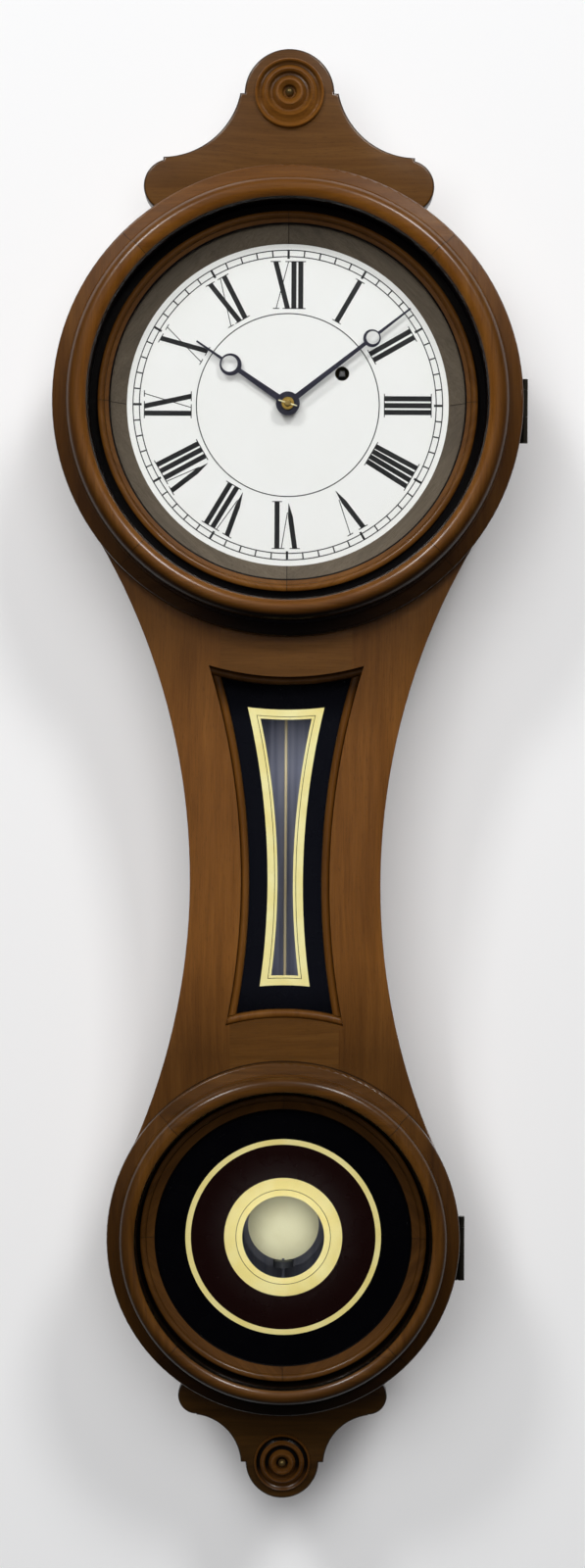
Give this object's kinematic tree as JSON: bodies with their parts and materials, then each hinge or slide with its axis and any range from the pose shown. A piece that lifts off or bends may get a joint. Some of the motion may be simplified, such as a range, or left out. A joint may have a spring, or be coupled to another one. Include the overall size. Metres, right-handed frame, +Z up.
{
  "type": "regulator wall clock",
  "caption": "Weight-driven regulator wall clock: figure-eight wooden case, two round hinged glazed doors, dial with two hands, pendulum behind a gilt ring, and a waist tablet.",
  "frame": {"origin": "Centre of the hanger hole's mouth, in the plane of the case's back.", "axes": "+Z is up, -Y is the way the clock faces, +X is to the right of a person who looks at the dial."},
  "size_m": [0.2783, 0.1215, 0.8592],
  "materials": {
    "walnut": "satin shellac",
    "dark_walnut": "satin shellac",
    "glass": "clear",
    "black_paint": "black and maroon paint behind glass",
    "gold_leaf": "gold leaf behind glass",
    "dial_enamel": "matt white",
    "grey_board": "grey-blue paint",
    "black_iron": "black japan",
    "cast_weight": "bare cast metal",
    "gut_cable": "natural gut",
    "blued_steel": "dark blued",
    "steel": "polished",
    "brass": "lacquered"
  },
  "bodies": {
    "case": {"backboard": "dark_walnut", "upper_case_ring": "walnut", "lower_case_ring": "dark_walnut", "case_sides": "walnut", "upper_front_ring": "walnut", "lower_front_ring": "dark_walnut", "stile_left": "walnut", "stile_right": "walnut", "top_rail": "dark_walnut", "bottom_rail": "dark_walnut", "waist_moulding": "dark_walnut", "tablet_glass": "glass", "tablet_paint": "black_paint", "tablet_gilding": "gold_leaf", "crest_board": "walnut", "pendant_board": "dark_walnut", "rosettes": "walnut", "dial_surround": "walnut", "dial": "dial_enamel", "hanger_plate": "steel", "screws": "steel", "hinge_fixed_leaves": "brass", "baffle": "grey_board", "movement_seat": "black_iron", "back_plate": "brass", "front_plate": "brass", "pillars": "brass", "suspension_cock": "brass", "weight_cable": "gut_cable"},
    "upper_door": {"upper_bezel_front": "walnut", "upper_bezel_back": "walnut", "upper_glass": "glass", "upper_glass_bead": "dark_walnut", "upper_hinge_leaf": "brass"},
    "lower_door": {"lower_bezel_front": "dark_walnut", "lower_bezel_back": "dark_walnut", "lower_glass": "glass", "lower_glass_paint": "black_paint", "lower_glass_gilding": "gold_leaf", "lower_glass_bead": "dark_walnut", "lower_hinge_leaf": "brass"},
    "minute_works": {"centre_wheel": "brass", "cannon_pinion": "steel", "minute_hand": "blued_steel", "hand_collet": "brass"},
    "hour_works": {"hour_wheel": "brass", "hour_hand": "blued_steel"},
    "minute_wheel_body": {"minute_wheel": "brass"},
    "third_wheel_body": {"third_wheel": "brass"},
    "escape_wheel_body": {"escape_wheel": "brass"},
    "great_wheel_body": {"great_wheel": "brass"},
    "click_body": {"click": "steel"},
    "barrel_body": {"barrel": "steel"},
    "weight_body": {"weight": "cast_weight"},
    "weight_pulley_body": {"weight_pulley": "brass"},
    "pendulum": {"pendulum_rod": "brass"},
    "bob_body": {"bob": "brass"},
    "rating_nut_body": {"rating_nut": "brass"},
    "verge_body": {"verge": "steel"}
  },
  "joints": [
    {"name": "upper_door_hinge", "type": "hinge", "parent": "case", "child": "upper_door", "pos_m": [0.1389, -0.0992, -0.106], "axis": [0, 0, 1], "range_deg": [0, 110]},
    {"name": "lower_door_hinge", "type": "hinge", "parent": "case", "child": "lower_door", "pos_m": [0.1044, -0.0992, -0.595], "axis": [0, 0, 1], "range_deg": [0, 110]},
    {"name": "minute_hand_turn", "type": "hinge", "parent": "case", "child": "minute_works", "pos_m": [0, -0.06, -0.106], "axis": [0, 1, 0], "continuous": true},
    {"name": "hour_hand_turn", "type": "hinge", "parent": "case", "child": "hour_works", "pos_m": [0, -0.09, -0.106], "axis": [0, 1, 0], "continuous": true},
    {"name": "minute_wheel_turn", "type": "hinge", "parent": "case", "child": "minute_wheel_body", "pos_m": [0.01311, -0.054, -0.11518], "axis": [0, 1, 0], "continuous": true},
    {"name": "third_wheel_turn", "type": "hinge", "parent": "case", "child": "third_wheel_body", "pos_m": [-0.01923, -0.034, -0.09433], "axis": [0, 1, 0], "continuous": true},
    {"name": "escape_wheel_turn", "type": "hinge", "parent": "case", "child": "escape_wheel_body", "pos_m": [-0.006, -0.028, -0.079], "axis": [0, 1, 0], "continuous": true},
    {"name": "great_wheel_turn", "type": "hinge", "parent": "case", "child": "great_wheel_body", "pos_m": [0.03199, -0.044, -0.08731], "axis": [0, 1, 0], "continuous": true},
    {"name": "click_lift", "type": "hinge", "parent": "great_wheel_body", "child": "click_body", "pos_m": [0.0256, -0.04, -0.0753], "axis": [0, -1, 0], "range_deg": [0, 12], "stiffness_Nm_per_rad": 0.002, "springref_deg": -2.86},
    {"name": "weight_drop", "type": "slide", "parent": "case", "child": "weight_body", "axis": [0, 0, -1], "range_m": [0, 0.31], "deforming": ["weight_cable"]},
    {"name": "barrel_turn", "type": "hinge", "parent": "case", "child": "barrel_body", "pos_m": [0.03199, -0.03, -0.08731], "axis": [0, 1, 0], "range_deg": [-5760, 0]},
    {"name": "weight_pulley_turn", "type": "hinge", "parent": "weight_body", "child": "weight_pulley_body", "pos_m": [0.01079, -0.025, -0.176], "axis": [0, 1, 0], "range_deg": [0, 1200]},
    {"name": "pendulum_swing", "type": "hinge", "parent": "case", "child": "pendulum", "pos_m": [0, -0.059, -0.061], "axis": [0, 1, 0], "range_deg": [-2.5, 2.5]},
    {"name": "verge_rock", "type": "hinge", "parent": "case", "child": "verge_body", "pos_m": [0, -0.03, -0.061], "axis": [0, 1, 0], "range_deg": [-2.6, 2.6]},
    {"name": "bob_regulate", "type": "slide", "parent": "pendulum", "child": "bob_body", "axis": [0, 0, 1], "range_m": [-0.0015, 0.0015]},
    {"name": "rating_nut_turn", "type": "hinge", "parent": "bob_body", "child": "rating_nut_body", "pos_m": [0, -0.059, -0.618], "axis": [0, 0, 1], "range_deg": [-1085, 1085]}
  ],
  "couplings": [
    {"joint": "hour_hand_turn", "follows": "minute_hand_turn", "ratio": 0.083333},
    {"joint": "minute_wheel_turn", "follows": "minute_hand_turn", "ratio": -0.33333},
    {"joint": "third_wheel_turn", "follows": "minute_hand_turn", "ratio": -8},
    {"joint": "escape_wheel_turn", "follows": "minute_hand_turn", "ratio": 82},
    {"joint": "great_wheel_turn", "follows": "minute_hand_turn", "ratio": -0.083333},
    {"joint": "barrel_turn", "follows": "weight_drop", "rad_per_m": -322.58},
    {"joint": "weight_pulley_turn", "follows": "weight_drop", "rad_per_m": 66.667},
    {"joint": "verge_rock", "follows": "pendulum_swing", "ratio": 1},
    {"joint": "rating_nut_turn", "follows": "bob_regulate", "rad_per_m": 12566}
  ]
}
